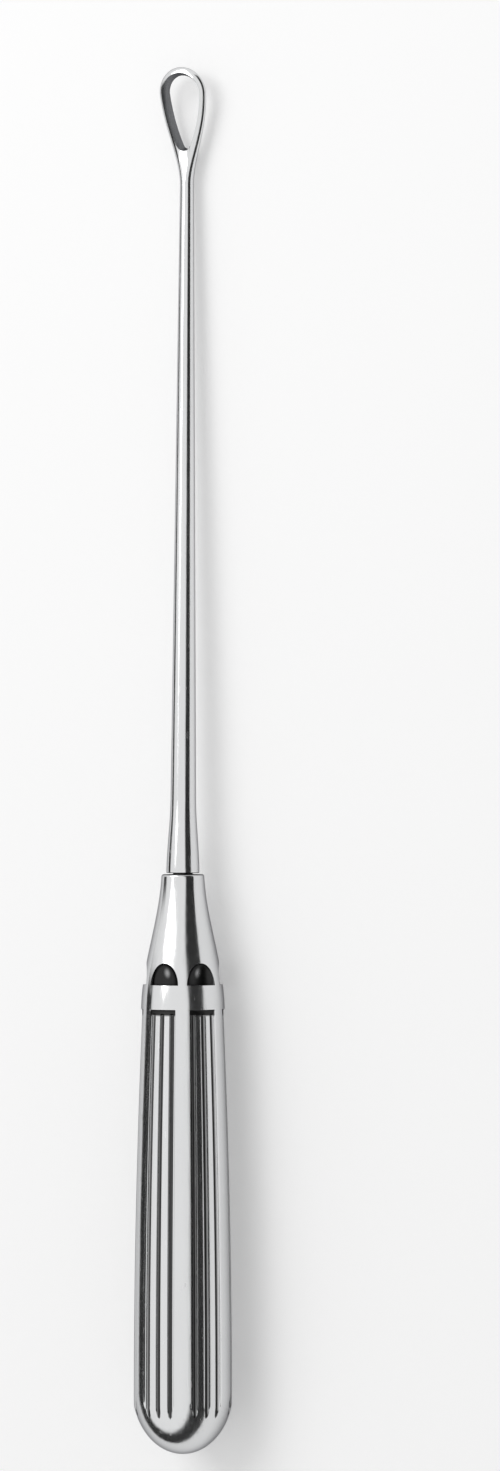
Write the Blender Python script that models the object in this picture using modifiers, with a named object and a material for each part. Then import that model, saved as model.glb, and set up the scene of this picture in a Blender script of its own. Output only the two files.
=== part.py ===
# Sharp uterine curette: a forged loop and shaft, brazed by its tang into a hollow fluted handle.
# Sizes are in metres. The curette is modelled upright, with its axis on Z, the butt of the handle at
# zero, the loop at the top and the cutting side towards -Y. It is then laid down as it comes to rest on
# a table: loop towards +Y, cutting side up, on the belly and the smooth band of the handle, which is
# heavy enough to hold the shaft and loop clear of the table.

import math

import bmesh
import bpy
import numpy as np
from mathutils import Matrix, Vector

# Clearance between pieces that touch
FIT = 0.0003

# How far a cutter stands past what it cuts
CUTTER_REACH = 0.0020

# Handle, outside
GRIP_LENGTH = 0.1010
CONE_LENGTH = 0.0285
BELLY_RADIUS = 0.0113
BUTT_DOME_LENGTH = 0.0145
GRIP_TOP_RADIUS = 0.0093
GRIP_CURVE = 1.9
NECK_RADIUS = 0.0048
CONE_FULLNESS = 0.7
MOUTH_ROUNDING = 0.0005

# Handle, inside. The hollow stops below the top of the grip
HANDLE_WALL = 0.0009
BUTT_WALL = 0.0020
CAVITY_STOP = 0.0080
CAVITY_SHOULDER = 0.0040

# Handle, panels and their grooves. The panels stop below the top of the grip
PANELS = 6
PANEL_HALF_ANGLE = math.radians(20)
PANEL_FLAT_ANGLE = math.radians(7.5)
PANEL_SINK = 0.00033
PANEL_STOP = 0.0015
PANEL_COVE = 0.0005
GROOVE_ANGLE = math.radians(15)
GROOVE_RADIUS = 0.0006
GROOVE_DEPTH = 0.0005
GROOVE_STOP = 0.0004
GROOVE_TIP_SHARE = 0.15

# Handle, half-moon notches. They start above the top of the grip
NOTCH_START = 0.0039
NOTCH_LENGTH = 0.0049
NOTCH_HALF_WIDTH = 0.00346
NOTCH_DEPTH = 0.0016

# Tang, shoulder and shaft
TANG_RADIUS = 0.0022
TANG_LENGTH = 0.0280
TANG_CHAMFER = 0.0005
SHOULDER_RADIUS = 0.0037
SHOULDER_ROUNDING = 0.0002
FLARE_LENGTH = 0.0165
SHAFT_RADIUS = 0.0030
SHAFT_END_RADIUS = 0.00155
SHAFT_LENGTH = 0.1532
SHAFT_SETBACK = 0.0018

# Loop
BAND_WIDTH = 0.00197
OPENING_RADIUS = 0.0039
OPENING_DROP = 0.0112
OPENING_END_RADIUS = 0.0012
OPENING_SIDE_RADIUS = 0.0350
LOOP_LENGTH = 0.0270
LOOP_HALF_DEPTH = 0.0018
NECK_BLEND = 0.0032
BEVEL_WIDTH = 0.00089
BEVEL_END_WIDTH = 0.0005
BEVEL_START = 0.0005
BACK_CHAMFER = 0.0004
LOOP_CURVE = math.radians(14)

# Dish ground into the front of the neck, below the opening
DISH_RADIUS = 0.0050
DISH_DEPTH = 0.0005
DISH_LENGTH = 0.0075

# Facets round each turned piece or cutter
HANDLE_STEPS = 60
CAVITY_STEPS = 36
BLANK_STEPS = 48
OUTLINE_STEPS = 12
NOTCH_STEPS = 24
DRUM_STEPS = 48

# Facets along each stretch
ROUNDING_STEPS = 3
CONE_STEPS = 6
GRIP_STEPS = 6
BUTT_STEPS = 9
CAVITY_GRIP_STEPS = 5
CAVITY_BUTT_STEPS = 5
SHAFT_STEPS = 2
FLARE_STEPS = 6
NECK_STEPS = 16
TIP_STEPS = 11


def smooth(t):
    t = min(max(t, 0.0), 1.0)
    return t * t * (3 - 2 * t)


def spaced(start, end, count):
    return [start + (end - start) * i / count for i in range(count + 1)]


# Outline of the handle

HANDLE_LENGTH = GRIP_LENGTH + CONE_LENGTH
PANEL_TOP = GRIP_LENGTH - PANEL_STOP
NOTCH_WALL = GRIP_LENGTH + NOTCH_START


def dome(radius, length, z):
    drop = 1 - min(max(z / length, 0.0), 1.0)
    return radius * math.sqrt(1 - drop ** 2)


def handle_radius(z):
    neck_top = HANDLE_LENGTH - MOUTH_ROUNDING
    if z <= BUTT_DOME_LENGTH:
        return dome(BELLY_RADIUS, BUTT_DOME_LENGTH, z)
    if z <= GRIP_LENGTH:
        t = (z - BUTT_DOME_LENGTH) / (GRIP_LENGTH - BUTT_DOME_LENGTH)
        return BELLY_RADIUS + (GRIP_TOP_RADIUS - BELLY_RADIUS) * t ** GRIP_CURVE
    t = min((z - GRIP_LENGTH) / (neck_top - GRIP_LENGTH), 1.0)
    # A cone that leaves the grip and reaches the neck without a corner
    eased = (1 - CONE_FULLNESS) * t + CONE_FULLNESS * smooth(t)
    return GRIP_TOP_RADIUS + (NECK_RADIUS - GRIP_TOP_RADIUS) * eased


def panel_floor(z):
    """Distance from the axis to the floor of a panel."""
    return handle_radius(max(z, BUTT_DOME_LENGTH)) - PANEL_SINK


def cavity_radius(z):
    return panel_floor(z) - GROOVE_DEPTH - HANDLE_WALL


# Outline of the shaft and loop

SHAFT_START = HANDLE_LENGTH + FIT
LOOP_ROOT = SHAFT_START + SHAFT_LENGTH
LOOP_TIP = LOOP_ROOT + LOOP_LENGTH
LOOP_RADIUS = OPENING_RADIUS + BAND_WIDTH
LOOP_CENTRE = LOOP_TIP - LOOP_RADIUS
OPENING_END = LOOP_CENTRE - OPENING_DROP - OPENING_END_RADIUS


def shaft_radius(z):
    along = min(max((z - SHAFT_START) / SHAFT_LENGTH, 0.0), 1.0)
    taper = SHAFT_RADIUS + (SHAFT_END_RADIUS - SHAFT_RADIUS) * along
    flare = (SHOULDER_RADIUS - SHAFT_RADIUS) * (1 - smooth((z - SHAFT_START) / FLARE_LENGTH))
    return taper + flare


def side_arc(top_radius, end_radius, side_radius):
    """Centre of the long arc down the right side of a teardrop, measured from the top arc's centre.

    It runs into the round top and into the round bottom without a corner.
    """
    to_top = side_radius - top_radius
    to_end = side_radius - end_radius
    below = (to_top ** 2 - to_end ** 2 + OPENING_DROP ** 2) / (2 * OPENING_DROP)
    return Vector((-math.sqrt(to_top ** 2 - below ** 2), -below))


def loop_half_width(z):
    """Half the loop's width, blended into the shaft below the opening."""
    if z >= LOOP_CENTRE:
        return math.sqrt(max(LOOP_RADIUS ** 2 - (z - LOOP_CENTRE) ** 2, 0.0))
    centre = side_arc(OPENING_RADIUS, OPENING_END_RADIUS, OPENING_SIDE_RADIUS)
    reach = OPENING_SIDE_RADIUS + BAND_WIDTH
    side = centre.x + math.sqrt(reach ** 2 - (z - LOOP_CENTRE - centre.y) ** 2)
    straight = min(side, LOOP_RADIUS)
    shaft = shaft_radius(z)
    blend = max(NECK_BLEND - abs(straight - shaft), 0.0) / NECK_BLEND
    return max(straight, shaft) + blend ** 2 * NECK_BLEND / 4


def loop_half_depth(z):
    if z >= LOOP_CENTRE:
        return LOOP_HALF_DEPTH * loop_half_width(z) / LOOP_RADIUS
    rise = smooth((z - LOOP_ROOT) / (LOOP_CENTRE - LOOP_ROOT))
    return SHAFT_END_RADIUS + (LOOP_HALF_DEPTH - SHAFT_END_RADIUS) * rise


def opening_outline(offset, end_offset):
    """Teardrop outline of the opening as (x, z) points, moved outwards by the two offsets."""
    top_radius = OPENING_RADIUS + offset
    end_radius = OPENING_END_RADIUS + end_offset
    side_radius = OPENING_SIDE_RADIUS + offset
    centre = side_arc(top_radius, end_radius, side_radius)
    top = Vector((0.0, LOOP_CENTRE))
    end = Vector((0.0, LOOP_CENTRE - OPENING_DROP))
    side = top + centre
    # Angles of the two points where the long side arc meets the round ends
    upper = math.atan2(top.y - side.y, top.x - side.x)
    lower = math.atan2(end.y - side.y, end.x - side.x)

    def arc(middle, radius, start, stop, count):
        angles = spaced(start, stop, count)
        return [middle + radius * Vector((math.cos(a), math.sin(a))) for a in angles]

    quarter = math.pi / 2
    right = arc(end, end_radius, -quarter, lower, OUTLINE_STEPS // 2)
    right += arc(side, side_radius, lower, upper, OUTLINE_STEPS)[1:]
    right += arc(top, top_radius, upper, quarter, OUTLINE_STEPS)[1:]
    left = [Vector((-point.x, point.y)) for point in reversed(right[1:-1])]
    return right + left


# Tools

def new_collection(name):
    collection = bpy.data.collections.new(name)
    bpy.context.scene.collection.children.link(collection)
    return collection


def new_object(name, data, collection):
    item = bpy.data.objects.new(name, data)
    collection.objects.link(item)
    return item


def baked(item, name):
    """Mesh of an object with its modifiers applied and its seams welded."""
    graph = bpy.context.evaluated_depsgraph_get()
    mesh = bpy.data.meshes.new_from_object(item.evaluated_get(graph))
    mesh.name = name
    bm = bmesh.new()
    bm.from_mesh(mesh)
    bmesh.ops.remove_doubles(bm, verts=bm.verts, dist=0.000001)
    bm.to_mesh(mesh)
    bm.free()
    return mesh


def replaced_by_mesh(item, mesh, collection):
    """Swap a curve or a modified object for its finished mesh."""
    name = item.name
    matrix = item.matrix_world.copy()
    bpy.data.objects.remove(item)
    finished = new_object(name, mesh, collection)
    finished.matrix_world = matrix
    return finished


def turned(name, profile, steps, collection):
    """Solid turned about Z from (radius, z) points that run from the top to the bottom."""
    mesh = bpy.data.meshes.new(name)
    bm = bmesh.new()
    points = [bm.verts.new((radius, 0, z)) for radius, z in profile]
    for upper, lower in zip(points, points[1:]):
        bm.edges.new((upper, lower))
    bm.to_mesh(mesh)
    bm.free()
    item = new_object(name, mesh, collection)
    screw = item.modifiers.new("Turn", "SCREW")
    screw.axis = "Z"
    screw.angle = math.tau
    screw.steps = steps
    screw.render_steps = steps
    screw.use_merge_vertices = True
    screw.merge_threshold = 0.000001
    return replaced_by_mesh(item, baked(item, name), collection)


def rod(name, start, end, radius, steps, collection):
    """Plain cylinder between two points."""
    axis = end - start
    place = Matrix.Translation((start + end) / 2) @ axis.to_track_quat("Z", "Y").to_matrix().to_4x4()
    mesh = bpy.data.meshes.new(name)
    bm = bmesh.new()
    bmesh.ops.create_cone(
        bm, cap_ends=True, segments=steps, radius1=radius, radius2=radius, depth=axis.length, matrix=place
    )
    bm.to_mesh(mesh)
    bm.free()
    return new_object(name, mesh, collection)


def cut(item, cutter, name):
    boolean = item.modifiers.new(name, "BOOLEAN")
    boolean.operation = "DIFFERENCE"
    boolean.solver = "EXACT"
    boolean.object = cutter
    cutter.display_type = "WIRE"
    cutter.hide_render = True


def around_handle(cutter):
    """Copy a cutter made for the front panel to every other panel."""
    bm = bmesh.new()
    bm.from_mesh(cutter.data)
    first = bm.verts[:] + bm.edges[:] + bm.faces[:]
    for index in range(1, PANELS):
        copied = bmesh.ops.duplicate(bm, geom=first)["geom"]
        corners = [piece for piece in copied if isinstance(piece, bmesh.types.BMVert)]
        turn = Matrix.Rotation(index * math.tau / PANELS, 3, "Z")
        bmesh.ops.rotate(bm, verts=corners, cent=(0, 0, 0), matrix=turn)
    bm.to_mesh(cutter.data)
    bm.free()


def lofted(name, rings, collection):
    """Solid through rings of points, all of one count, closed at both ends."""
    mesh = bpy.data.meshes.new(name)
    bm = bmesh.new()
    placed = [[bm.verts.new(point) for point in ring] for ring in rings]
    for lower, upper in zip(placed, placed[1:]):
        for index in range(len(lower)):
            after = (index + 1) % len(lower)
            bm.faces.new((lower[index], lower[after], upper[after], upper[index]))
    bm.faces.new(placed[0])
    bm.faces.new(placed[-1])
    bmesh.ops.recalc_face_normals(bm, faces=bm.faces)
    bm.to_mesh(mesh)
    bm.free()
    return new_object(name, mesh, collection)


def steel(name, colour, roughness):
    material = bpy.data.materials.new(name)
    material.use_nodes = True
    shader = material.node_tree.nodes["Principled BSDF"]
    shader.inputs["Base Color"].default_value = (*colour, 1)
    shader.inputs["Metallic"].default_value = 1.0
    shader.inputs["Roughness"].default_value = roughness
    return material


def shade(item, material):
    item.data.materials.clear()
    item.data.materials.append(material)
    item.data.shade_smooth()
    item.data.set_sharp_from_angle(angle=math.radians(30))


# Handle

def handle_blank(parts):
    neck_top = HANDLE_LENGTH - MOUTH_ROUNDING
    mouth_middle = NECK_RADIUS - MOUTH_ROUNDING
    profile = [(0.0, HANDLE_LENGTH)]
    for turn in spaced(math.pi / 2, 0, ROUNDING_STEPS):
        across = MOUTH_ROUNDING * math.cos(turn)
        rise = MOUTH_ROUNDING * math.sin(turn)
        profile.append((mouth_middle + across, neck_top + rise))
    profile += [(handle_radius(z), z) for z in spaced(neck_top, GRIP_LENGTH, CONE_STEPS)[1:]]
    profile += [(handle_radius(z), z) for z in spaced(GRIP_LENGTH, BUTT_DOME_LENGTH, GRIP_STEPS)[1:]]
    for turn in spaced(math.pi / 2, 0, BUTT_STEPS)[1:]:
        # Even steps round the dome of the butt
        profile.append((BELLY_RADIUS * math.sin(turn), BUTT_DOME_LENGTH * (1 - math.cos(turn))))
    profile[-1] = (0.0, 0.0)
    return turned("fluted_handle", profile, HANDLE_STEPS, parts)


def panel_cutter(cutters):
    """Sinks a floor of three flats between two ribs, up to a small cove below the smooth band."""
    outside = BELLY_RADIUS + CUTTER_REACH
    side = [(panel_floor(0.0), 0.0)]
    side += [(panel_floor(z), z) for z in spaced(BUTT_DOME_LENGTH, PANEL_TOP - PANEL_COVE, GRIP_STEPS)]
    floor = panel_floor(PANEL_TOP - PANEL_COVE)
    for turn in spaced(0, math.pi / 2, ROUNDING_STEPS)[1:]:
        rise = PANEL_COVE * math.sin(turn)
        side.append((floor + PANEL_COVE * (1 - math.cos(turn)), PANEL_TOP - PANEL_COVE + rise))
    rings = []
    for distance, z in side:
        # The corners between the flats stand out to where the flats meet
        corner = distance / math.cos(PANEL_FLAT_ANGLE)
        outline = [(-PANEL_HALF_ANGLE, outside), (-PANEL_HALF_ANGLE, corner), (-PANEL_FLAT_ANGLE, corner)]
        outline += [(-angle, radius) for angle, radius in reversed(outline)]
        rings.append([(radius * math.sin(angle), -radius * math.cos(angle), z) for angle, radius in outline])
    cutter = lofted("panel_cutter", rings, cutters)
    around_handle(cutter)
    return cutter


def groove_cutter(cutters):
    """Three round grooves down a panel. They stop short of its top and run out through the butt."""
    curve = bpy.data.curves.new("groove_cutter", "CURVE")
    curve.dimensions = "3D"
    curve.bevel_depth = GROOVE_RADIUS
    curve.bevel_resolution = 3
    curve.use_fill_caps = True
    top = PANEL_TOP - PANEL_COVE - GROOVE_STOP - GROOVE_RADIUS
    lift = GROOVE_RADIUS - GROOVE_DEPTH
    path = [(z, 1.0) for z in [0.0] + spaced(BUTT_DOME_LENGTH, top, GRIP_STEPS)]
    # The cutter's end is round
    for turn in spaced(0, math.pi / 2, ROUNDING_STEPS)[1:]:
        share = max(math.cos(turn), GROOVE_TIP_SHARE)
        path.append((top + GROOVE_RADIUS * math.sin(turn), share))
    for angle in (-GROOVE_ANGLE, 0.0, GROOVE_ANGLE):
        spline = curve.splines.new("POLY")
        spline.points.add(len(path) - 1)
        for point, (z, share) in zip(spline.points, path):
            middle = panel_floor(z) + lift
            point.co = (middle * math.sin(angle), -middle * math.cos(angle), z, 1)
            point.radius = share
    item = new_object("groove_cutter", curve, cutters)
    cutter = replaced_by_mesh(item, baked(item, "groove_cutter"), cutters)
    around_handle(cutter)
    return cutter


def notch_cutter(cutters):
    """Scooped half-moon in the cone: a straight wall along the grip, round towards the shaft."""
    rim = handle_radius(NOTCH_WALL + NOTCH_LENGTH)
    mesh = bpy.data.meshes.new("notch_cutter")
    bm = bmesh.new()
    bmesh.ops.create_uvsphere(bm, u_segments=NOTCH_STEPS, v_segments=NOTCH_STEPS // 2, radius=1.0)
    # The pole of the ball points into the handle, and half of the ball is kept above the wall
    bmesh.ops.rotate(bm, verts=bm.verts, cent=(0, 0, 0), matrix=Matrix.Rotation(math.pi / 2, 3, "X"))
    everything = bm.verts[:] + bm.edges[:] + bm.faces[:]
    bmesh.ops.bisect_plane(
        bm, geom=everything, dist=0.0001, plane_co=(0, 0, 0), plane_no=(0, 0, 1), clear_inner=True
    )
    bmesh.ops.holes_fill(bm, edges=[edge for edge in bm.edges if edge.is_boundary], sides=0)
    bmesh.ops.scale(bm, verts=bm.verts, vec=(NOTCH_HALF_WIDTH, NOTCH_DEPTH, NOTCH_LENGTH))
    bmesh.ops.translate(bm, verts=bm.verts, vec=(0, -rim, NOTCH_WALL))
    bmesh.ops.recalc_face_normals(bm, faces=bm.faces)
    bm.to_mesh(mesh)
    bm.free()
    cutter = new_object("notch_cutter", mesh, cutters)
    around_handle(cutter)
    return cutter


def cavity_cutter(cutters):
    """Bore for the tang, opening into the hollow of the grip."""
    bore = TANG_RADIUS + FIT
    above = HANDLE_LENGTH + CUTTER_REACH
    cavity_top = GRIP_LENGTH - CAVITY_STOP
    profile = [(0.0, above), (bore, above), (bore, cavity_top + CAVITY_SHOULDER)]
    profile += [(cavity_radius(z), z) for z in spaced(cavity_top, BUTT_DOME_LENGTH, CAVITY_GRIP_STEPS)]
    widest = cavity_radius(BUTT_DOME_LENGTH)
    length = BUTT_DOME_LENGTH - BUTT_WALL
    for turn in spaced(math.pi / 2, 0, CAVITY_BUTT_STEPS)[1:]:
        profile.append((widest * math.sin(turn), BUTT_DOME_LENGTH - length * math.cos(turn)))
    profile[-1] = (0.0, BUTT_WALL)
    return turned("cavity_cutter", profile, CAVITY_STEPS, cutters)


def make_handle(parts, cutters):
    handle = handle_blank(parts)
    cut(handle, panel_cutter(cutters), "Panels")
    cut(handle, groove_cutter(cutters), "Grooves")
    cut(handle, notch_cutter(cutters), "Half-moons")
    cut(handle, cavity_cutter(cutters), "Hollow")
    return handle


# Loop, shaft and tang

def forging_blank(parts):
    """Turned blank of the loop, shaft and tang, with the end spread flat for the loop."""
    tang_end = HANDLE_LENGTH - TANG_LENGTH
    profile = []
    for turn in spaced(math.pi / 2, 0, TIP_STEPS)[:-1]:
        z = LOOP_CENTRE + LOOP_RADIUS * math.sin(turn)
        profile.append((loop_half_depth(z), z))
    profile[0] = (0.0, LOOP_TIP)
    profile += [(loop_half_depth(z), z) for z in spaced(LOOP_CENTRE, LOOP_ROOT, NECK_STEPS)]
    flare_end = SHAFT_START + FLARE_LENGTH
    shoulder = SHAFT_START + SHOULDER_ROUNDING
    profile += [(shaft_radius(z), z) for z in spaced(LOOP_ROOT, flare_end, SHAFT_STEPS)[1:]]
    profile += [(shaft_radius(z), z) for z in spaced(flare_end, shoulder, FLARE_STEPS)[1:]]
    profile.append((SHOULDER_RADIUS - SHOULDER_ROUNDING, SHAFT_START))
    profile.append((TANG_RADIUS, SHAFT_START))
    profile.append((TANG_RADIUS, tang_end + TANG_CHAMFER))
    profile.append((TANG_RADIUS - TANG_CHAMFER, tang_end))
    profile.append((0.0, tang_end))
    blank = turned("loop_shaft", profile, BLANK_STEPS, parts)
    for vertex in blank.data.vertices:
        if LOOP_ROOT < vertex.co.z < LOOP_TIP:
            vertex.co.x *= loop_half_width(vertex.co.z) / loop_half_depth(vertex.co.z)
    return blank


def opening_cutter(cutters):
    """Teardrop cutter: straight inside, chamfered at the back and ground wide to the crest in front."""
    crest = 1 - (BAND_WIDTH - BEVEL_WIDTH) / LOOP_RADIUS
    crest_depth = LOOP_HALF_DEPTH * math.sqrt(1 - crest ** 2)
    back_depth = LOOP_HALF_DEPTH * math.sqrt(1 - (OPENING_RADIUS / LOOP_RADIUS) ** 2)
    chamfer_start = back_depth - BACK_CHAMFER
    clear = 2 * LOOP_HALF_DEPTH
    # How far the bevel has run at the front of the cutter, in bevel widths
    run = (clear + BEVEL_START) / (crest_depth + BEVEL_START)
    levels = [
        (clear, clear - chamfer_start, clear - chamfer_start),
        (chamfer_start, 0.0, 0.0),
        (BEVEL_START, 0.0, 0.0),
        (-clear, run * BEVEL_WIDTH, run * BEVEL_END_WIDTH),
    ]
    rings = []
    for y, offset, end_offset in levels:
        rings.append([(point.x, y, point.y) for point in opening_outline(offset, end_offset)])
    return lofted("opening_cutter", rings, cutters)


def dish_cutter(cutters):
    """Grinding drum that hollows the front of the neck and runs out towards the shaft."""
    rim = OPENING_END - BEVEL_END_WIDTH
    run_out = rim - DISH_LENGTH
    start = Vector((0, -(loop_half_depth(rim) - DISH_DEPTH + DISH_RADIUS), rim))
    end = Vector((0, -(loop_half_depth(run_out) + DISH_RADIUS), run_out))
    past = (start - end).normalized() * CUTTER_REACH
    return rod("dish_cutter", end - past, start + past, DISH_RADIUS, DRUM_STEPS, cutters)


def settled(point):
    """Sets the shaft back from the handle's axis and curves the loop forward again."""
    y, z = point.y, point.z
    along = z - LOOP_ROOT
    if along > 0:
        radius = LOOP_LENGTH / LOOP_CURVE
        swept = along / radius
        arm = radius + y
        y = arm * math.cos(swept) - radius
        z = LOOP_ROOT + arm * math.sin(swept)
    if z > SHAFT_START:
        y += SHAFT_SETBACK * (z - SHAFT_START) / SHAFT_LENGTH
    return Vector((point.x, y, z))


def make_forging(parts, cutters):
    forging = forging_blank(parts)
    cut(forging, dish_cutter(cutters), "Dish")
    cut(forging, opening_cutter(cutters), "Opening")
    forging = replaced_by_mesh(forging, baked(forging, "loop_shaft"), parts)
    for vertex in forging.data.vertices:
        vertex.co = settled(vertex.co)
    return forging


# Rest on the table

def world_points(item):
    graph = bpy.context.evaluated_depsgraph_get()
    mesh = item.evaluated_get(graph).data
    mesh.calc_loop_triangles()
    points = np.array([item.matrix_world @ vertex.co for vertex in mesh.vertices])
    corners = np.array([triangle.vertices[:] for triangle in mesh.loop_triangles])
    return points, corners


def balance_point(pieces):
    """Centre of mass of solids of one metal."""
    volume = 0.0
    moment = np.zeros(3)
    for points, corners in pieces:
        a, b, c = (points[corners[:, index]] for index in range(3))
        share = np.einsum("ij,ij->i", a, np.cross(b, c)) / 6
        volume += share.sum()
        moment += (share[:, None] * (a + b + c) / 4).sum(axis=0)
    return moment / volume


def underside(points):
    """Lower hull of the side view, from the butt to the loop."""
    hull = []
    for y, z in sorted({(round(p[1], 9), round(p[2], 9)) for p in points}):
        while len(hull) > 1:
            (y0, z0), (y1, z1) = hull[-2], hull[-1]
            if (y1 - y0) * (z - z0) - (z1 - z0) * (y - y0) > 0:
                break
            hull.pop()
        hull.append((y, z))
    return hull


def lay_down(carrier, items):
    """Turn the upright curette onto its back, then onto the two points that its weight falls between."""
    carrier.rotation_euler.x = -math.pi / 2
    bpy.context.view_layer.update()
    pieces = [world_points(item) for item in items]
    middle = balance_point(pieces)
    hull = underside(np.vstack([points for points, corners in pieces]))
    for (y0, z0), (y1, z1) in zip(hull, hull[1:]):
        if y0 <= middle[1] <= y1:
            carrier.rotation_euler.x -= math.atan2(z1 - z0, y1 - y0)
    bpy.context.view_layer.update()
    points = np.vstack([world_points(item)[0] for item in items])
    lowest, highest = points.min(axis=0), points.max(axis=0)
    carrier.location = (0.0, -0.5 * (lowest[1] + highest[1]), -lowest[2])
    bpy.context.view_layer.update()


def main():
    for item in list(bpy.data.objects):
        bpy.data.objects.remove(item)
    parts = new_collection("uterine_curette")
    cutters = new_collection("cutters")
    handle = make_handle(parts, cutters)
    forging = make_forging(parts, cutters)
    shade(handle, steel("handle_steel", (0.60, 0.61, 0.62), 0.30))
    shade(forging, steel("forged_steel", (0.64, 0.65, 0.66), 0.22))
    carrier = new_object("curette_axis", None, parts)
    for item in (handle, forging, *cutters.objects):
        item.parent = carrier
    lay_down(carrier, (handle, forging))


main()
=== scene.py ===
# Sharp uterine curette in polished steel, lying on a pale table.
# Lengths of the pieces are millimetres, those of the studio and of the steel's bumps metres, and angles
# degrees. Each piece is shaped upright, with the butt of the handle at zero, the loop at the top and its
# cutting side towards -Y, and then laid down.

import functools
import math

import bmesh
import bpy
from mathutils import Matrix, Vector


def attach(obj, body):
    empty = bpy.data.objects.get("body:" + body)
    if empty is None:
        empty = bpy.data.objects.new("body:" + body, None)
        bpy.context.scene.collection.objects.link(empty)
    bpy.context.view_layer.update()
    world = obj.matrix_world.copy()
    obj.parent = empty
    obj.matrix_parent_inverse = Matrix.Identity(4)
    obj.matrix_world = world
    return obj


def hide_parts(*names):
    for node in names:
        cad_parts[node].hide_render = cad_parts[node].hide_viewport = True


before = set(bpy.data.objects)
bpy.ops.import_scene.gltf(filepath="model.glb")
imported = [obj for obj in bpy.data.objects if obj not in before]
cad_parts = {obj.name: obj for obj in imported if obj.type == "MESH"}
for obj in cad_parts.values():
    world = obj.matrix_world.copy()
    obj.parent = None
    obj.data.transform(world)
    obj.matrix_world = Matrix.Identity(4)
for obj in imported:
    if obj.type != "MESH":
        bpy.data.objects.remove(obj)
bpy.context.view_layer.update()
print("frame loaded:", sorted(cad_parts))


# How the curette lies

# the butt's pole is the point of the handle with the lowest Y
rest = {"tilt": 1.4682, "millimetre": 0.001}
handlePoints = [vertex.co.copy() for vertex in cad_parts["fluted_handle"].data.vertices]
buttPole = min(handlePoints, key=lambda point: point.y)
turnDown = Matrix.Rotation(math.radians(-90 - rest["tilt"]), 4, "X")
layDown = Matrix.Translation(buttPole) @ turnDown @ Matrix.Scale(rest["millimetre"], 4)


# Small helpers

# distances under which points count as one, or as being on the surface
tolerance = {"seam": 0.00001, "pole": 0.0001, "cut": 0.0005, "skin": 0.001}


def smooth(t):
    t = min(max(t, 0.0), 1.0)
    return t * t * (3 - 2 * t)


def between(start, end, share):
    return start + (end - start) * share


def spaced(start, end, count):
    return [between(start, end, i / count) for i in range(count + 1)]


def softMin(a, b, width):
    # the smaller of two distances, rounded over where they cross
    overlap = max(width - abs(a - b), 0.0) / width
    return min(a, b) - overlap * overlap * width / 4


def softMax(a, b, width):
    return -softMin(-a, -b, width)


def spun(bm, profile, steps):
    # profile of (radius, height) points turned right round the axis
    points = [bm.verts.new((radius, 0, height)) for radius, height in profile]
    edges = [bm.edges.new(pair) for pair in zip(points, points[1:])]
    bmesh.ops.spin(
        bm, geom=points + edges, cent=(0, 0, 0), axis=(0, 0, 1), angle=math.tau, steps=steps, use_merge=True
    )
    bmesh.ops.remove_doubles(bm, verts=bm.verts, dist=tolerance["seam"])
    bmesh.ops.recalc_face_normals(bm, faces=bm.faces)


def linked(name, bm, materials):
    # the bmesh as an object in the scene
    mesh = bpy.data.meshes.new(name)
    bm.to_mesh(mesh)
    bm.free()
    for material in materials:
        mesh.materials.append(material)
    piece = bpy.data.objects.new(name, mesh)
    bpy.context.scene.collection.objects.link(piece)
    return piece


def finished(name, bm, materials, sharpAngle):
    bmesh.ops.transform(bm, matrix=layDown, verts=bm.verts)
    piece = linked(name, bm, materials)
    piece.data.shade_smooth()
    piece.data.set_sharp_from_angle(angle=math.radians(sharpAngle))
    return piece


def mathNode(tree, operation, *values):
    # each value is a number or the output of another node
    node = tree.nodes.new("ShaderNodeMath")
    node.operation = operation
    for socket, value in zip(node.inputs, values):
        if isinstance(value, (int, float)):
            socket.default_value = value
        else:
            tree.links.new(value, socket)
    return node.outputs[0]


# Steel, as both pieces use it

# each pattern says how often it changes in a metre across, along and up, and how detailed it is
wear = {
    "grain": ((2600, 45, 2600), 3.0),
    "smudge": ((70, 22, 70), 2.0),
    "scratch": ((900, 260, 1500), 1.0),
    "scratchLimit": 0.71,
    "smudgeTone": 0.6,
    "bumpDistance": 0.00002,
}


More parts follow.
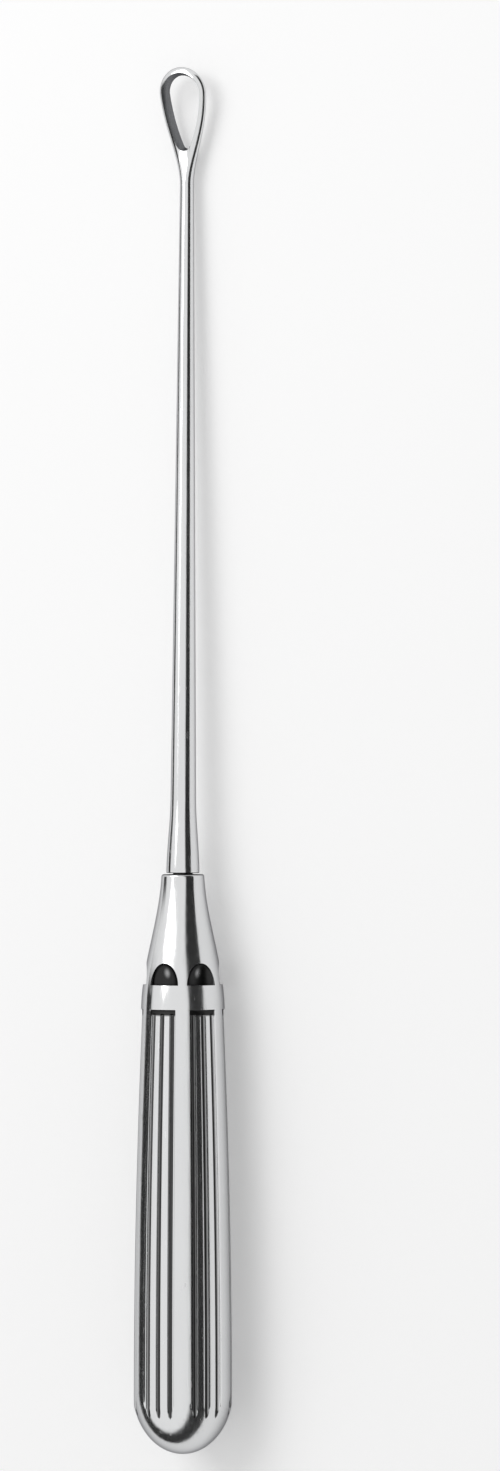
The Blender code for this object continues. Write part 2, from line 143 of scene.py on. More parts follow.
def steelGroup():
    tree = bpy.data.node_groups.new("Worked steel", "ShaderNodeTree")
    for name in ("Grain", "Smudge", "Scratches", "Roughness"):
        tree.interface.new_socket(name, in_out="INPUT", socket_type="NodeSocketFloat")
    tree.interface.new_socket("Along", in_out="INPUT", socket_type="NodeSocketVector")
    for name in ("Roughness", "Height", "Tone"):
        tree.interface.new_socket(name, in_out="OUTPUT", socket_type="NodeSocketFloat")
    given = tree.nodes.new("NodeGroupInput")
    result = tree.nodes.new("NodeGroupOutput")

    def noise(stretch, detail):
        placed = tree.nodes.new("ShaderNodeMapping")
        placed.inputs["Scale"].default_value = stretch
        tree.links.new(given.outputs["Along"], placed.inputs["Vector"])
        texture = tree.nodes.new("ShaderNodeTexNoise")
        texture.inputs["Scale"].default_value = 1.0
        texture.inputs["Detail"].default_value = detail
        tree.links.new(placed.outputs[0], texture.inputs["Vector"])
        return texture.outputs["Fac"]

    # polishing lines along the instrument, handling smudges, and a few stray scratches
    grain = mathNode(tree, "SUBTRACT", noise(*wear["grain"]), 0.5)
    grain = mathNode(tree, "MULTIPLY", grain, given.outputs["Grain"])
    smudge = mathNode(tree, "SUBTRACT", noise(*wear["smudge"]), 0.5)
    smudge = mathNode(tree, "MULTIPLY", smudge, given.outputs["Smudge"])
    scratch = mathNode(tree, "GREATER_THAN", noise(*wear["scratch"]), wear["scratchLimit"])
    scratch = mathNode(tree, "MULTIPLY", scratch, given.outputs["Scratches"])
    wander = mathNode(tree, "ADD", mathNode(tree, "ADD", grain, smudge), scratch)
    rough = mathNode(tree, "ADD", given.outputs["Roughness"], wander)
    height = mathNode(tree, "SUBTRACT", grain, scratch)
    tone = mathNode(tree, "ADD", mathNode(tree, "MULTIPLY", smudge, wear["smudgeTone"]), 1.0)
    for name, value in (("Roughness", rough), ("Height", height), ("Tone", tone)):
        tree.links.new(value, result.inputs[name])
    return tree


def steel(name, look, group):
    material = bpy.data.materials.new(name)
    material.use_nodes = True
    tree = material.node_tree
    nodes, links = tree.nodes, tree.links
    shader = nodes["Principled BSDF"]
    shader.inputs["Metallic"].default_value = 1.0
    shader.inputs["Specular Tint"].default_value = (*look["edgeTint"], 1)
    place = nodes.new("ShaderNodeTexCoord")
    worked = nodes.new("ShaderNodeGroup")
    worked.node_tree = group
    for key in ("Grain", "Smudge", "Scratches", "Roughness"):
        worked.inputs[key].default_value = look[key.lower()]
    links.new(place.outputs["Object"], worked.inputs["Along"])
    # painted shade in the grooves, cove and half-moons, and the dark joint between handle and shaft, go
    # where the piece's own attribute marks as sunk
    sunk = nodes.new("ShaderNodeAttribute")
    sunk.attribute_name = "sunk"
    shadeAndJointMix = nodes.new("ShaderNodeMix")
    shadeAndJointMix.data_type = "RGBA"
    shadeAndJointMix.inputs["A"].default_value = (*look["colour"], 1)
    shadeAndJointMix.inputs["B"].default_value = (*look["paintedShadeAndJoint"], 1)
    links.new(sunk.outputs["Fac"], shadeAndJointMix.inputs["Factor"])
    toned = nodes.new("ShaderNodeMix")
    toned.data_type = "RGBA"
    toned.blend_type = "MULTIPLY"
    toned.inputs["Factor"].default_value = 1.0
    links.new(shadeAndJointMix.outputs["Result"], toned.inputs["A"])
    links.new(worked.outputs["Tone"], toned.inputs["B"])
    links.new(toned.outputs["Result"], shader.inputs["Base Color"])
    dulled = mathNode(
        tree, "MULTIPLY_ADD", sunk.outputs["Fac"], look["dulling"], worked.outputs["Roughness"]
    )
    links.new(dulled, shader.inputs["Roughness"])
    bump = nodes.new("ShaderNodeBump")
    bump.inputs["Strength"].default_value = look["bump"]
    bump.inputs["Distance"].default_value = wear["bumpDistance"]
    links.new(worked.outputs["Height"], bump.inputs["Height"])
    links.new(bump.outputs["Normal"], shader.inputs["Normal"])
    return material


polished = {
    "colour": (0.70, 0.705, 0.71),
    # near black: painted shade in the hollows, and the dark colour of the joint
    "paintedShadeAndJoint": (0.035, 0.035, 0.035),
    "edgeTint": (0.35, 0.35, 0.36),
    "grain": 0.22,
    "smudge": 0.16,
    "scratches": 0.10,
    "roughness": 0.15,
    "dulling": 0.15,
    "bump": 0.40,
}
# the bevel inside the loop is left as ground and dull, and its dark grey colour is painted shade
groundAndShaded = {**polished, "colour": (0.18, 0.183, 0.19), "grain": 0.35, "roughness": 0.28, "bump": 0.7}
workedSteel = steelGroup()
polishedSteel = steel("polished steel", polished, workedSteel)
groundShadedSteel = steel("ground steel painted dark", groundAndShaded, workedSteel)
print("steel ready")


# Fluted handle

handle = {
    "gripLength": 101.0,
    "coneLength": 28.5,
    "bellyRadius": 11.3,
    "buttLength": 14.5,
    "gripTopRadius": 9.3,
    "gripCurve": 1.9,
    "neckRadius": 4.8,
    "coneFullness": 0.7,
    "mouthRounding": 0.5,
    "boreRadius": 2.5,
    "boreChamfer": 0.15,
    "hollowRadius": 9.5,
    "hollowTopRadius": 7.9,
    "hollowFloor": 2.0,
    "hollowTop": 93.0,
    "hollowShoulder": 4.0,
    "panels": 6,
    "panelAngle": 20.0,
    "panelSink": 0.33,
    "panelStop": 1.5,
    "panelCove": 0.5,
    "grooveAngle": 15.0,
    "grooveRadius": 0.6,
    "grooveDepth": 0.5,
    "grooveStop": 0.4,
    "notchStart": 3.9,
    "notchLength": 4.9,
    "notchHalfWidth": 3.46,
    "notchDepth": 1.6,
    "edgeWidth": 0.06,
    "rounding": 0.10,
    "sharpAngle": 40.0,
    # how much painted shade lies in the grooves, under the cove and in the half-moons, and how dark the
    # joint is at the mouth, from 0 to 1, and the lengths over which the shade comes and goes
    "grooveShade": 1.0,
    "coveShade": 1.0,
    "coveShadeLength": 1.6,
    "coveShadeFade": 0.5,
    "mouthStain": 0.8,
    "notchShade": 1.0,
    "notchShadeFade": 0.3,
    # a painted highlight in the middle of a half-moon's painted shade, its height and reach as shares of
    # the half-moon's size
    "notchHighlight": 0.45,
    "notchHighlightHeight": 0.55,
    "notchHighlightReach": 0.30,
    # columns of the mesh, and the shares of groove, land and rib at which they stand
    "columns": 360,
    "middleGrooveShares": (0, 0.2, 0.4, 0.6, 0.8),
    "landShares": (1 / 3, 2 / 3),
    "sideGrooveShares": (-0.6, -0.3, 0, 0.3, 0.6),
    "ribShares": (0.15, 0.35, 0.6, 0.8, 1),
    "notchColumns": 22,
    "notchRimTop": 0.9985,
    "notchRimInside": 0.998,
    "notchRimOutside": 0.2,
    "turnedBelowNotch": 0.05,
    "evenedAboveNotch": 4.0,
    # rows of the mesh, and where their spacing changes
    "rows": {
        "dome": 14,
        "runOut": 26,
        "belly": 4,
        "panel": 26,
        "grooveEnd": 16,
        "cove": 9,
        "band": 3,
        "underNotch": 5,
        "notch": 44,
        "cone": 32,
        "mouth": 6,
        "hollowEnd": 8,
    },
    "domeAngle": 56.0,
    "runOutTop": 12.5,
    "grooveEndLength": 0.5,
    "wallStep": 0.01,
    "hollowShares": (0, 0.35, 1),
}
sectorAngle = 360 / handle["panels"]
ribAngle = sectorAngle / 2
columnsPerHalf = handle["columns"] // handle["panels"] // 2
handleLength = handle["gripLength"] + handle["coneLength"]
neckTop = handleLength - handle["mouthRounding"]
panelTop = handle["gripLength"] - handle["panelStop"]
coveStart = panelTop - handle["panelCove"]
grooveTop = coveStart - handle["grooveStop"] - handle["grooveRadius"]
grooveLift = handle["grooveRadius"] - handle["grooveDepth"]
notchWall = handle["gripLength"] + handle["notchStart"]
notchTip = notchWall + handle["notchLength"]


def handleRadius(z):
    if z <= handle["buttLength"]:
        drop = 1 - max(z, 0) / handle["buttLength"]
        return handle["bellyRadius"] * math.sqrt(1 - drop * drop)
    if z <= handle["gripLength"]:
        t = (z - handle["buttLength"]) / (handle["gripLength"] - handle["buttLength"])
        return between(handle["bellyRadius"], handle["gripTopRadius"], t ** handle["gripCurve"])
    t = min((z - handle["gripLength"]) / (neckTop - handle["gripLength"]), 1.0)
    fullness = between(t, smooth(t), handle["coneFullness"])
    return between(handle["gripTopRadius"], handle["neckRadius"], fullness)


notchRim = handleRadius(notchTip)


def panelFloor(z):
    return handleRadius(min(max(z, handle["buttLength"]), panelTop)) - handle["panelSink"]


def panelColumns(z):
    # columns of the skin over half a panel, from its middle to the top of the rib, along every edge there
    floor = panelFloor(z)
    side = floor * math.radians(handle["grooveAngle"])
    half = math.sqrt(handle["grooveRadius"] ** 2 - grooveLift ** 2)
    edge = handle["edgeWidth"]
    across = [half * share for share in handle["middleGrooveShares"]]
    across += [half - edge, half, half + edge]
    across += [between(half + edge, side - half - edge, share) for share in handle["landShares"]]
    across += [side - half - edge, side - half, side - half + edge]
    across += [side + half * share for share in handle["sideGrooveShares"]]
    across += [side + half - edge, side + half, side + half + edge]
    angles = [math.degrees(x / floor) for x in across]
    narrow = math.degrees(edge / floor) / 2
    wall = handle["panelAngle"]
    angles += [wall - 2 * narrow, wall - narrow, wall, wall + narrow, wall + 2 * narrow]
    angles += [between(wall + 2 * narrow, ribAngle, share) for share in handle["ribShares"]]
    return angles


def notchColumns(z):
    # columns that close in along the rim of the half-moon
    rise = min(max((z - notchWall) / handle["notchLength"], 0.0), handle["notchRimTop"])
    share = math.sqrt(1 - rise * rise)
    across = handle["notchHalfWidth"] * share
    rim = math.degrees(math.atan(across / math.sqrt(notchRim ** 2 - (handle["notchDepth"] * share) ** 2)))
    turns = spaced(0, 90, handle["notchColumns"])
    inner = [rim * handle["notchRimInside"] * math.sin(math.radians(turn)) for turn in turns]
    outer = columnsPerHalf - handle["notchColumns"] - 1
    return inner + spaced(rim + handle["notchRimOutside"], ribAngle, outer)


@functools.cache
def columnAngles(z):
    # from the columns of the panels to those of the half-moons, and then to even ones
    if z <= panelTop:
        return panelColumns(z)
    if z <= notchWall:
        share = smooth((z - panelTop) / (notchWall - panelTop - handle["turnedBelowNotch"]))
        return [between(lower, upper, share) for lower, upper in zip(panelColumns(z), notchColumns(z))]
    share = smooth((z - notchTip) / handle["evenedAboveNotch"])
    even = spaced(0, ribAngle, columnsPerHalf)
    return [between(lower, upper, share) for lower, upper in zip(notchColumns(z), even)]


def panelSkin(angle, z):
    # distance from the axis to the grooved floor, at an angle from the middle of its panel, and how deep
    # in a groove that is
    floor = panelFloor(z)
    centre = floor + grooveLift
    past = max(z - grooveTop, 0.0)
    depth = 0.0
    for groove in (-1, 0, 1):
        turn = math.radians(angle - groove * handle["grooveAngle"])
        reach = handle["grooveRadius"] ** 2 - (centre * math.sin(turn)) ** 2 - past ** 2
        if reach > 0:
            cut = floor - centre * math.cos(turn) + math.sqrt(reach)
            depth = max(depth, softMax(cut, 0.0, handle["rounding"]))
    if z > coveStart:
        lean = min((z - coveStart) / handle["panelCove"], 1.0)
        floor += handle["panelCove"] * (1 - math.sqrt(1 - lean * lean))
    return floor - depth, depth / handle["grooveDepth"]


def notchSkin(angle, z):
    # distance from the axis to the scoop of a half-moon, or None where it cuts nothing
    if not notchWall <= z < notchTip:
        return None
    a = math.radians(angle)
    width, depth = handle["notchHalfWidth"], handle["notchDepth"]
    rise = (z - notchWall) / handle["notchLength"]
    square = (math.sin(a) / width) ** 2 + (math.cos(a) / depth) ** 2
    linear = -2 * notchRim * math.cos(a) / depth ** 2
    constant = (notchRim / depth) ** 2 + rise ** 2 - 1
    inside = linear ** 2 - 4 * square * constant
    if inside <= 0:
        return None
    return (-linear - math.sqrt(inside)) / (2 * square)


def handleSkin(angle, z):
    # distance from the axis to the skin, and how much painted shade lies there
    outer = handleRadius(z)
    if z <= panelTop:
        narrow = math.degrees(handle["edgeWidth"] / panelFloor(z))
        inPanel = 1 - smooth((abs(angle) - handle["panelAngle"] + narrow) / (2 * narrow))
        cutTo, inGroove = panelSkin(angle, z)
        if inPanel <= 0 or cutTo > outer + handle["rounding"]:
            return outer, 0.0
        skin = between(outer, softMin(cutTo, outer, handle["rounding"]), inPanel)
        # painted shade in the grooves, and a painted shadow under the cove at the panel's top
        underCove = smooth((z - panelTop + handle["coveShadeLength"]) / handle["coveShadeFade"])
        return skin, max(handle["grooveShade"] * inGroove, handle["coveShade"] * underCove * inPanel)
    scooped = notchSkin(angle, z)
    if scooped is None or scooped > outer:
        return outer, 0.0
    # painted shade over the scoop, lighter in its middle as a painted highlight
    across = scooped * math.sin(math.radians(angle)) / handle["notchHalfWidth"]
    upward = (z - notchWall) / handle["notchLength"] - handle["notchHighlightHeight"]
    highlight = handle["notchHighlight"] * smooth(1 - math.hypot(across, upward) / handle["notchHighlightReach"])
    return scooped, (handle["notchShade"] - highlight) * smooth((outer - scooped) / handle["notchShadeFade"])


def handleRows():
    # heights of the skin's rows, close together wherever its shape turns quickly
    butt, count, step = handle["buttLength"], handle["rows"], handle["wallStep"]
    turns = spaced(0, handle["domeAngle"], count["dome"])
    rows = [butt * (1 - math.cos(math.radians(turn))) for turn in turns]
    rows += spaced(rows[-1], handle["runOutTop"], count["runOut"])[1:]
    rows += spaced(handle["runOutTop"], butt, count["belly"])[1:]
    grooveEnd = grooveTop - handle["grooveEndLength"]
    rows += spaced(butt, grooveEnd, count["panel"])[1:]
    rows += spaced(grooveEnd, coveStart, count["grooveEnd"])[1:]
    rows += spaced(coveStart, panelTop, count["cove"])[1:]
    rows += spaced(panelTop + step, handle["gripLength"], count["band"])
    rows += spaced(handle["gripLength"], notchWall - step, count["underNotch"])[1:]
    turns = spaced(0, 90, count["notch"])
    rows += [notchWall + handle["notchLength"] * math.sin(math.radians(turn)) for turn in turns]
    rows += spaced(notchTip, neckTop, count["cone"])[1:]
    return rows


def handleProfile():
    # up the skin from the butt, over the mouth, and down the bore and the hollow to its floor
    profile = [(handleRadius(z), z) for z in handleRows()]
    mouth = handle["neckRadius"] - handle["mouthRounding"]
    for turn in spaced(0, 90, handle["rows"]["mouth"])[1:]:
        lean = math.radians(turn)
        height = handleLength - handle["mouthRounding"] * (1 - math.sin(lean))
        profile.append((mouth + handle["mouthRounding"] * math.cos(lean), height))
    bore, chamfer = handle["boreRadius"], handle["boreChamfer"]
    boreEnd = handle["hollowTop"] + handle["hollowShoulder"]
    profile += [(bore + chamfer, handleLength), (bore, handleLength - chamfer), (bore, boreEnd)]
    for share in handle["hollowShares"]:
        hollow = between(handle["hollowTopRadius"], handle["hollowRadius"], share)
        profile.append((hollow, between(handle["hollowTop"], handle["buttLength"], share)))
    for turn in spaced(0, 90, handle["rows"]["hollowEnd"])[1:]:
        lean = math.radians(turn)
        depth = (handle["buttLength"] - handle["hollowFloor"]) * math.sin(lean)
        profile.append((handle["hollowRadius"] * math.cos(lean), handle["buttLength"] - depth))
    # both ends exactly on the axis
    profile[0] = (0.0, 0.0)
    profile[-1] = (0.0, handle["hollowFloor"])
    return profile


def handlePiece():
    bm = bmesh.new()
    spun(bm, handleProfile(), handle["columns"])
    sunk = bm.verts.layers.float.new("sunk")
    for vertex in bm.verts:
        radius = vertex.co.to_2d().length
        z = round(vertex.co.z, 4)  # the same for a whole row, which then shares its angles
        onAxis = radius < tolerance["skin"]
        if onAxis or abs(radius - handleRadius(z)) > tolerance["skin"] or z > neckTop:
            # the poles, the mouth, the bore and the hollow stay as they were spun
            vertex[sunk] = handle["mouthStain"] if z > handleLength - handle["mouthRounding"] / 2 else 0.0
            continue
        # the front panel faces -Y, and its middle column stands at -90 degrees
        column = round(math.degrees(math.atan2(vertex.co.y, vertex.co.x)) * handle["columns"] / 360)
        column = (column + handle["columns"] // 4) % handle["columns"]
        panel, step = divmod(column + columnsPerHalf, 2 * columnsPerHalf)
        step -= columnsPerHalf
        angle = math.copysign(columnAngles(z)[abs(step)], step)
        distance, vertex[sunk] = handleSkin(angle, z)
        turn = math.radians(angle + panel * sectorAngle - 90)
        vertex.co = (distance * math.cos(turn), distance * math.sin(turn), z)
    return finished("fluted_grip", bm, [polishedSteel], handle["sharpAngle"])


grip = handlePiece()
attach(grip, "root")
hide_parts("fluted_handle")
print("fluted grip made:", len(grip.data.polygons), "faces")


# Loop, shaft and tang

forging = {
    "jointGap": 0.3,
    "tangRadius": 2.2,
    "tangLength": 28.0,
    "tangChamfer": 0.5,
    "shoulderRadius": 3.7,
    "shoulderRounding": 0.2,
    "flareLength": 16.5,
    "shaftRadius": 3.0,
    "shaftEndRadius": 1.55,
    "shaftLength": 153.2,
    "setback": 1.8,
    "bandWidth": 1.97,
    "openingRadius": 3.9,
    "openingDrop": 11.2,
    "openingEndRadius": 1.2,
    "openingSideRadius": 35.0,
    "loopLength": 27.0,
    "loopHalfDepth": 1.8,
    "neckBlend": 3.2,
    "bevelWidth": 0.89,
    "bevelEndWidth": 0.5,
    "bevelStart": 0.5,
    "backChamfer": 0.4,
    "loopCurve": 14.0,
    "dishRadius": 5.0,
    "dishDepth": 0.5,
    "dishLength": 7.5,
    "dishOverrun": 2.0,
    "sharpAngle": 30.0,
    # how finely the blank and the tools that cut it are divided
    "blankColumns": 128,
    "blankRows": {"loopTop": 26, "loopSides": 54, "shaft": 24, "flare": 14, "shoulder": 4},
    "openingSteps": {"end": 14, "side": 40, "top": 32},
    "dishSteps": 192,
}
shaftFoot = handleLength + forging["jointGap"]
loopRoot = shaftFoot + forging["shaftLength"]
loopTip = loopRoot + forging["loopLength"]
loopRadius = forging["openingRadius"] + forging["bandWidth"]
loopCentre = loopTip - loopRadius
openingEnd = loopCentre - forging["openingDrop"] - forging["openingEndRadius"]


def shaftRadius(z):
    along = min(max((z - shaftFoot) / forging["shaftLength"], 0.0), 1.0)
    flare = 1 - smooth((z - shaftFoot) / forging["flareLength"])
    taper = between(forging["shaftRadius"], forging["shaftEndRadius"], along)
    return taper + (forging["shoulderRadius"] - forging["shaftRadius"]) * flare


def sideArcCentre(topRadius, endRadius, sideRadius):
    # the long arc runs into the round top and the round bottom without a corner
    toTop, toEnd, drop = sideRadius - topRadius, sideRadius - endRadius, forging["openingDrop"]
    below = (toTop ** 2 - toEnd ** 2 + drop ** 2) / (2 * drop)
    return -math.sqrt(toTop ** 2 - below ** 2), -below


def loopHalfWidth(z):
    if z >= loopCentre:
        return math.sqrt(max(loopRadius ** 2 - (z - loopCentre) ** 2, 0.0))
    across, below = sideArcCentre(
        forging["openingRadius"], forging["openingEndRadius"], forging["openingSideRadius"]
    )
    reach = forging["openingSideRadius"] + forging["bandWidth"]
    side = across + math.sqrt(reach ** 2 - (z - loopCentre - below) ** 2)
    return softMax(min(side, loopRadius), shaftRadius(z), forging["neckBlend"])


def loopHalfDepth(z):
    if z >= loopCentre:
        return forging["loopHalfDepth"] * loopHalfWidth(z) / loopRadius
    rise = smooth((z - loopRoot) / (loopCentre - loopRoot))
    return between(forging["shaftEndRadius"], forging["loopHalfDepth"], rise)


def blankBody():
    # down from the tip of the loop to the end of the tang, spun round and then spread flat for the loop
    rows, rounding = forging["blankRows"], forging["shoulderRounding"]
    profile = [(0.0, loopTip)]
    for turn in spaced(90, 0, rows["loopTop"])[1:-1]:
        z = loopCentre + loopRadius * math.sin(math.radians(turn))
        profile.append((loopHalfDepth(z), z))
    profile += [(loopHalfDepth(z), z) for z in spaced(loopCentre, loopRoot, rows["loopSides"])]
    flareEnd = shaftFoot + forging["flareLength"]
    shoulder = shaftFoot + rounding
    profile += [(shaftRadius(z), z) for z in spaced(loopRoot, flareEnd, rows["shaft"])[1:]]
    profile += [(shaftRadius(z), z) for z in spaced(flareEnd, shoulder, rows["flare"])[1:]]
    for turn in spaced(0, 90, rows["shoulder"])[1:]:
        lean = math.radians(turn)
        inward = rounding * (1 - math.cos(lean))
        profile.append((forging["shoulderRadius"] - inward, shoulder - rounding * math.sin(lean)))
    tang, chamfer = forging["tangRadius"], forging["tangChamfer"]
    tangEnd = handleLength - forging["tangLength"]
    profile += [(tang, shaftFoot), (tang, tangEnd + chamfer), (tang - chamfer, tangEnd), (0.0, tangEnd)]
    bm = bmesh.new()
    spun(bm, profile, forging["blankColumns"])
    for vertex in bm.verts:
        if loopRoot < vertex.co.z < loopTip - tolerance["pole"]:
            vertex.co.x *= loopHalfWidth(vertex.co.z) / loopHalfDepth(vertex.co.z)
    return bm


def openingOutline(offset, endOffset):
    topRadius = forging["openingRadius"] + offset
    endRadius = forging["openingEndRadius"] + endOffset
    sideRadius = forging["openingSideRadius"] + offset
    centre = sideArcCentre(topRadius, endRadius, sideRadius)
    top = Vector((0.0, loopCentre))
    end = Vector((0.0, loopCentre - forging["openingDrop"]))
    side = top + Vector(centre)
    upper = math.atan2(top.y - side.y, top.x - side.x)
    lower = math.atan2(end.y - side.y, end.x - side.x)
    steps = forging["openingSteps"]
    points = []
    for middle, radius, start, stop, count in (
        (end, endRadius, -math.pi / 2, lower, steps["end"]),
        (side, sideRadius, lower, upper, steps["side"]),
        (top, topRadius, upper, math.pi / 2, steps["top"]),
    ):
        arc = spaced(start, stop, count)[1 if points else 0:]
        points += [middle + radius * Vector((math.cos(turn), math.sin(turn))) for turn in arc]
    return points + [Vector((-point.x, point.y)) for point in reversed(points[1:-1])]


def openingTool():
    # straight through the band, chamfered behind, and ground wide to the cutting crest in front
    crest = 1 - (forging["bandWidth"] - forging["bevelWidth"]) / loopRadius
    crestDepth = forging["loopHalfDepth"] * math.sqrt(1 - crest ** 2)
    backDepth = forging["loopHalfDepth"] * math.sqrt(1 - (forging["openingRadius"] / loopRadius) ** 2)
    chamferStart = backDepth - forging["backChamfer"]
    clear = 2 * forging["loopHalfDepth"]
    run = (clear + forging["bevelStart"]) / (crestDepth + forging["bevelStart"])
    # depth of each level, and how far the outline is widened there, all round and at its lower end
    levels = (
        (clear, clear - chamferStart, clear - chamferStart),
        (chamferStart, 0.0, 0.0),
        (forging["bevelStart"], 0.0, 0.0),
        (-clear, run * forging["bevelWidth"], run * forging["bevelEndWidth"]),
    )
    bm = bmesh.new()
    station = bm.verts.layers.int.new("station")  # a vertex's place along the outline
    ring = [bm.verts.new((point.x, clear, point.y)) for point in openingOutline(0, 0)]
    for number, vertex in enumerate(ring):
        vertex[station] = number
    face = bm.faces.new(ring)
    for level, (depth, offset, endOffset) in enumerate(levels):
        if level > 0:
            grown = bmesh.ops.extrude_face_region(bm, geom=[face])["geom"]
            if level > 1:
                bmesh.ops.delete(bm, geom=[face], context="FACES_ONLY")
            face = next(item for item in grown if isinstance(item, bmesh.types.BMFace))
        outline = openingOutline(offset, endOffset)
        for vertex in face.verts:
            point = outline[vertex[station]]
            vertex.co = (point.x, depth, point.y)
    bmesh.ops.recalc_face_normals(bm, faces=bm.faces)
    return bm


def dishTool():
    # grinding drum that hollows the front of the neck and runs out towards the shaft
    rim = openingEnd - forging["bevelEndWidth"]
    runOut = rim - forging["dishLength"]
    start = Vector((0, -(loopHalfDepth(rim) - forging["dishDepth"] + forging["dishRadius"]), rim))
    end = Vector((0, -(loopHalfDepth(runOut) + forging["dishRadius"]), runOut))
    past = (start - end).normalized() * forging["dishOverrun"]
    axis = start - end + 2 * past
    place = Matrix.Translation((start + end) / 2) @ axis.to_track_quat("Z", "Y").to_matrix().to_4x4()
    bm = bmesh.new()
    bmesh.ops.create_cone(
        bm,
        cap_ends=True,
        segments=forging["dishSteps"],
        radius1=forging["dishRadius"],
        radius2=forging["dishRadius"],
        depth=axis.length,
        matrix=place,
    )
    return bm


def settled(point):
    # the shaft is set back from the handle's axis and the loop curves forward again
    y, z = point.y, point.z
    if z > loopRoot:
        radius = forging["loopLength"] / math.radians(forging["loopCurve"])
        swept = (z - loopRoot) / radius
        y, z = (radius + y) * math.cos(swept) - radius, loopRoot + (radius + y) * math.sin(swept)
    if z > shaftFoot:
        y += forging["setback"] * (z - shaftFoot) / forging["shaftLength"]
    return point.x, y, z


def upright(name, bm, finish):
    # the blank or a tool, in the finish that its faces give to the forging
    finishes = [polishedSteel, groundShadedSteel]
    piece = linked(name, bm, finishes)
    for polygon in piece.data.polygons:
        polygon.material_index = finishes.index(finish)
    return piece


def forgingPiece():
    blank = upright("forged blank", blankBody(), polishedSteel)
    tools = [
        upright("dish tool", dishTool(), polishedSteel),
        upright("opening tool", openingTool(), groundShadedSteel),
    ]
    for tool in tools:
        cut = blank.modifiers.new(tool.name, "BOOLEAN")
        cut.operation = "DIFFERENCE"
        cut.solver = "EXACT"
        cut.material_mode = "INDEX"
        cut.object = tool
    graph = bpy.context.evaluated_depsgraph_get()
    shaped = bpy.data.meshes.new_from_object(blank.evaluated_get(graph))
    for item in (blank, *tools):
        bpy.data.objects.remove(item)
    bm = bmesh.new()
    bm.from_mesh(shaped)
    bmesh.ops.remove_doubles(bm, verts=bm.verts, dist=tolerance["cut"])
    sunk = bm.verts.layers.float.new("sunk")
    for vertex in bm.verts:
        vertex[sunk] = 1.0 if vertex.co.z < shaftFoot + forging["shoulderRounding"] / 2 else 0.0
        vertex.co = settled(vertex.co)
    return finished("loop_and_shaft", bm, [polishedSteel, groundShadedSteel], forging["sharpAngle"])


shaft = forgingPiece()
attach(shaft, "root")
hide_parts("loop_shaft")
print("loop and shaft made:", len(shaft.data.polygons), "faces")


# Table, studio light and camera

studio = {
    "tableSize": 24.0,
    "tableColour": (0.84, 0.84, 0.84),
    "tableRoughness": 0.9,
    "tableGloss": 0.1,
    "tableGlow": 0.20,
    "sky": 0.60,
    "darkWall": 0.03,
    "wallTowards": (0.40, -0.917, 0.0),
    "wallSides": (-0.60, -0.45),
    "wallUp": (-0.17, -0.10, 0.98),
    "wallTop": (0.585, 0.485),
    "keyFrom": (-0.35, 0.50, 0.79),
    "keyDistance": 1.3,
    "keySize": 0.9,
    "keyPower": 6.8,
    "lens": 180.0,  # lens and sensor are in millimetres
    "sensorHeight": 36.0,
    "clipEnd": 40.0,
    "turned": 30.0,
    "frameHeight": 0.32865,
    "aimAlong": 0.1605,
    "aimAside": 0.0150,
}


def pathMask(tree, *kinds):
    # 1 for rays of any of these kinds, and 0 for all others
    path = tree.nodes.new("ShaderNodeLightPath")
    mask = path.outputs[kinds[0]]
    for kind in kinds[1:]:
        mask = mathNode(tree, "MAXIMUM", mask, path.outputs[kind])
    return mask


def mixedShader(tree, mask, others, masked):
    mix = tree.nodes.new("ShaderNodeMixShader")
    for socket, source in zip(mix.inputs, (mask, others, masked)):
        tree.links.new(source, socket)
    return mix.outputs[0]


def table():
    # pale, and with a little glow of its own for the eye and in reflections
    material = bpy.data.materials.new("pale table")
    material.use_nodes = True
    tree = material.node_tree
    shader = tree.nodes["Principled BSDF"]
    shader.inputs["Base Color"].default_value = (*studio["tableColour"], 1)
    shader.inputs["Roughness"].default_value = studio["tableRoughness"]
    shader.inputs["Specular IOR Level"].default_value = studio["tableGloss"]
    glow = tree.nodes.new("ShaderNodeEmission")
    glow.inputs["Strength"].default_value = studio["tableGlow"]
    both = tree.nodes.new("ShaderNodeAddShader")
    tree.links.new(shader.outputs[0], both.inputs[0])
    tree.links.new(glow.outputs[0], both.inputs[1])
    seen = pathMask(tree, "Is Camera Ray", "Is Glossy Ray", "Is Transmission Ray")
    surface = mixedShader(tree, seen, shader.outputs[0], both.outputs[0])
    tree.links.new(surface, tree.nodes["Material Output"].inputs["Surface"])
    bm = bmesh.new()
    bmesh.ops.create_grid(bm, x_segments=1, y_segments=1, size=studio["tableSize"] / 2)
    linked("table", bm, [material])


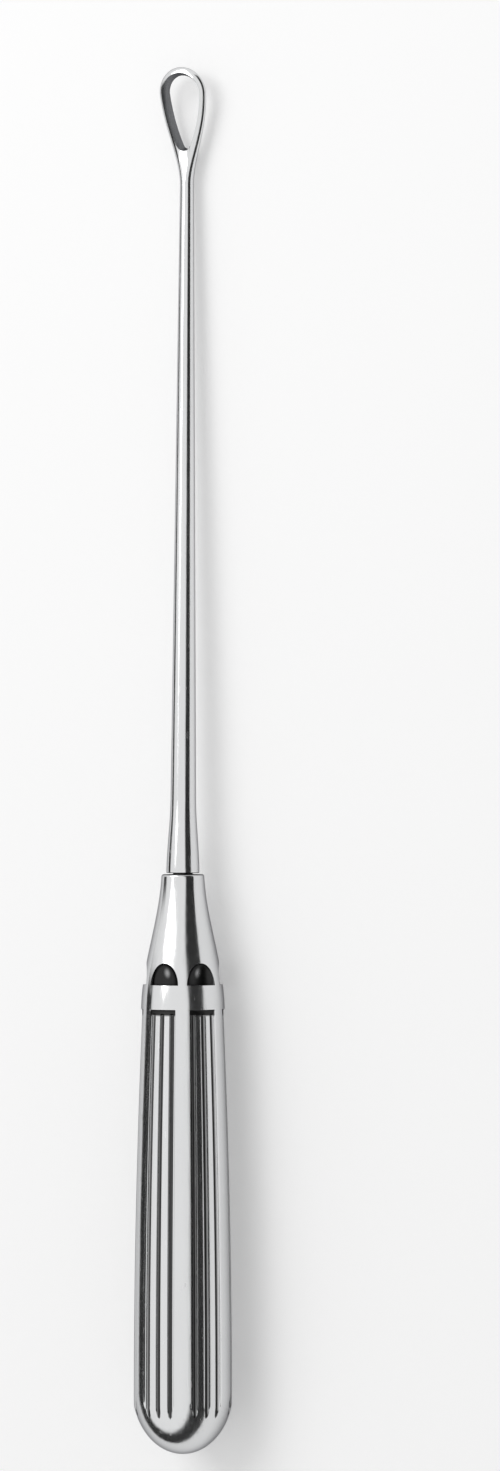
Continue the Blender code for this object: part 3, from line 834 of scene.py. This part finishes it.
def studioSky():
    # grey for what it lights, white for the eye, and white with a low dark wall for what the steel reflects
    world = bpy.data.worlds.new("studio")
    bpy.context.scene.world = world
    world.use_nodes = True
    tree = world.node_tree
    nodes, links = tree.nodes, tree.links
    lit = nodes["Background"]
    lit.inputs["Strength"].default_value = studio["sky"]
    mirrored = nodes.new("ShaderNodeBackground")
    white = nodes.new("ShaderNodeBackground")
    for background in (lit, mirrored, white):
        background.inputs["Color"].default_value = (1, 1, 1, 1)
    # the dark wall is the product of two soft steps, one sideways and one upwards
    direction = nodes.new("ShaderNodeTexCoord")
    shares = []
    for axisName, edgeName in (("wallTowards", "wallSides"), ("wallUp", "wallTop")):
        along = nodes.new("ShaderNodeVectorMath")
        along.operation = "DOT_PRODUCT"
        along.inputs[1].default_value = studio[axisName]
        links.new(direction.outputs["Generated"], along.inputs[0])
        share = nodes.new("ShaderNodeMapRange")
        share.interpolation_type = "SMOOTHSTEP"
        share.inputs["From Min"].default_value, share.inputs["From Max"].default_value = studio[edgeName]
        links.new(along.outputs["Value"], share.inputs["Value"])
        shares.append(share.outputs["Result"])
    shade = nodes.new("ShaderNodeMapRange")
    shade.inputs["To Min"].default_value = 1.0
    shade.inputs["To Max"].default_value = studio["darkWall"]
    links.new(mathNode(tree, "MULTIPLY", *shares), shade.inputs["Value"])
    links.new(shade.outputs["Result"], mirrored.inputs["Strength"])
    inMirror = pathMask(tree, "Is Glossy Ray", "Is Transmission Ray")
    around = mixedShader(tree, inMirror, lit.outputs[0], mirrored.outputs[0])
    seen = mixedShader(tree, pathMask(tree, "Is Camera Ray"), around, white.outputs[0])
    links.new(seen, nodes["World Output"].inputs["Surface"])


def keyLight():
    light = bpy.data.lights.new("key", "AREA")
    light.shape = "SQUARE"
    light.size = studio["keySize"]
    light.energy = studio["keyPower"]
    lamp = bpy.data.objects.new("key", light)
    bpy.context.scene.collection.objects.link(lamp)
    away = Vector(studio["keyFrom"]).normalized()
    lamp.location = away * studio["keyDistance"]
    lamp.rotation_euler = away.to_track_quat("Z", "Y").to_euler()


def camera():
    # square to the handle's axis, and turned about it
    turn = math.radians(studio["turned"])
    towards = turnDown.to_3x3() @ Vector((math.sin(turn), -math.cos(turn), 0))
    up = turnDown.to_3x3() @ Vector((0, 0, 1))
    right = up.cross(towards)
    aim = buttPole + studio["aimAlong"] * up + studio["aimAside"] * right
    eye = bpy.data.cameras.new("camera")
    eye.sensor_fit = "VERTICAL"
    eye.sensor_height = studio["sensorHeight"]
    eye.lens = studio["lens"]
    eye.clip_end = studio["clipEnd"]
    seat = bpy.data.objects.new("camera", eye)
    bpy.context.scene.collection.objects.link(seat)
    distance = studio["frameHeight"] * studio["lens"] / studio["sensorHeight"]
    facing = Matrix((right, up, towards)).transposed().to_4x4()
    seat.matrix_world = Matrix.Translation(aim + distance * towards) @ facing
    bpy.context.scene.camera = seat


table()
studioSky()
keyLight()
camera()
bpy.context.scene.view_settings.view_transform = "Standard"
print("stage, light and camera set")
